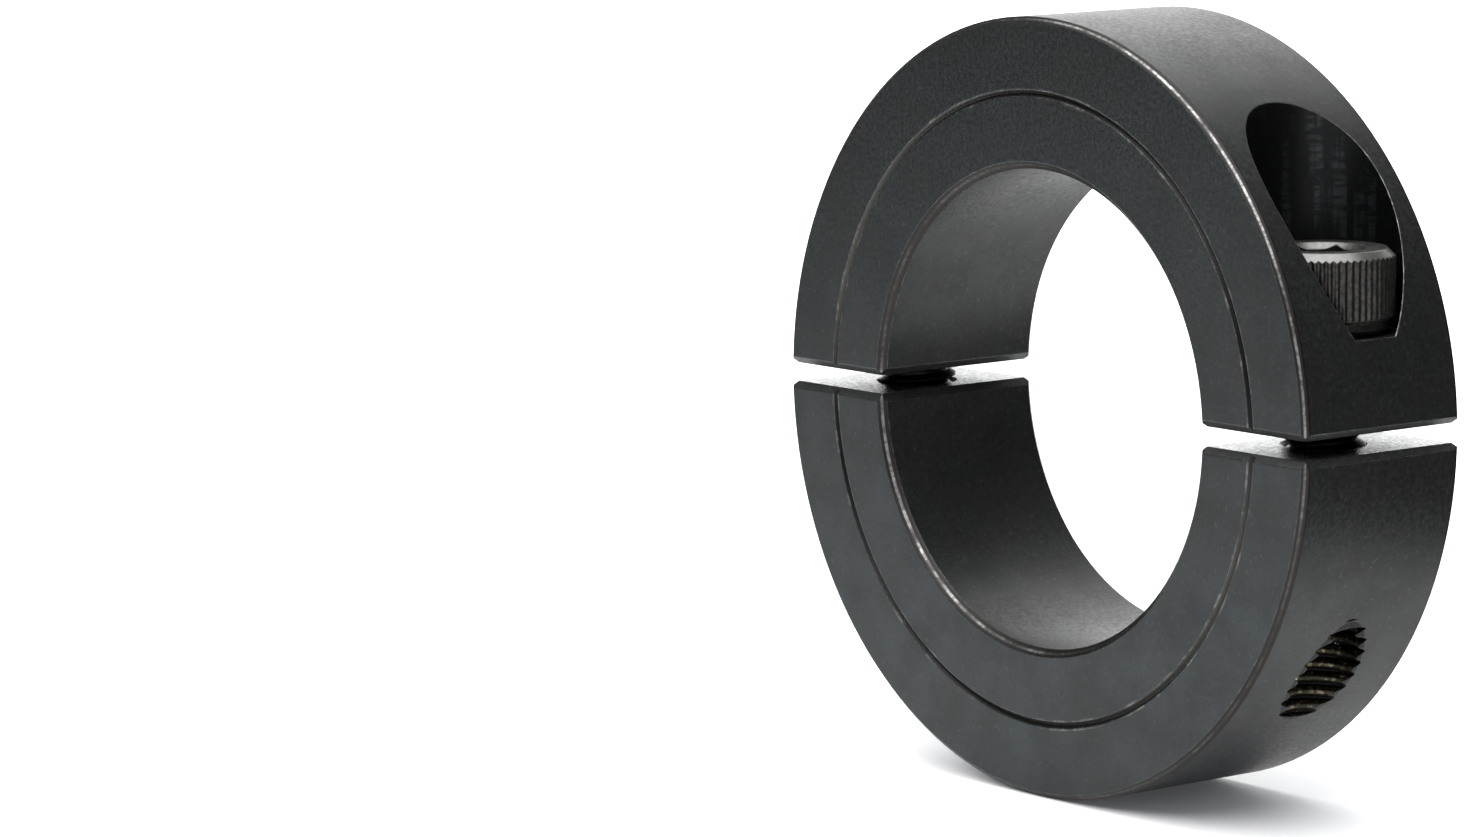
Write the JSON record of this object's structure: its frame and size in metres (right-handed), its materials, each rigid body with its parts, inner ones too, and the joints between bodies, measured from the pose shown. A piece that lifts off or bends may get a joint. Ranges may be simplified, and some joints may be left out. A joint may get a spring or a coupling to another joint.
{
  "type": "shaft collar",
  "caption": "Two-piece clamping shaft collar: split steel ring drawn onto a shaft by socket head cap screws.",
  "frame": {"origin": "centre of the bore, on its axis, halfway through the collar's width and halfway across the saw gap", "axes": "Y along the bore, with the grooved face towards -Y; +Z from the threaded half to the half that holds the screw heads, along the screws; X across both screws"},
  "size_m": [0.057, 0.015, 0.057],
  "materials": {
    "collar_steel": "black oxide over turned and tumbled steel, satin, fine speckle",
    "screw_steel": "black oxide on hardened steel, oiled, bright where the edges are worn"
  },
  "bodies": {
    "lower_half": {"lower_half": "collar_steel"},
    "upper_half": {"upper_half": "collar_steel"},
    "clamp_screw_right": {"clamp_screw_right": "screw_steel"},
    "clamp_screw_left": {"clamp_screw_left": "screw_steel"}
  },
  "joints": [
    {"name": "halves_open", "type": "slide", "parent": "lower_half", "child": "upper_half", "axis": [0, 0, 1], "range_m": [-0.0012, 0.01]},
    {"name": "screw_turn_right", "type": "hinge", "parent": "upper_half", "child": "clamp_screw_right", "pos_m": [0.0224, 0, 0.0072], "axis": [0, 0, 1], "range_deg": [-520, 3620]},
    {"name": "screw_turn_left", "type": "hinge", "parent": "upper_half", "child": "clamp_screw_left", "pos_m": [-0.0224, 0, 0.0072], "axis": [0, 0, 1], "range_deg": [-520, 3620]}
  ],
  "couplings": [
    {"joint": "screw_turn_right", "follows": "halves_open", "rad_per_m": 6283.2},
    {"joint": "screw_turn_left", "follows": "halves_open", "rad_per_m": 6283.2}
  ]
}
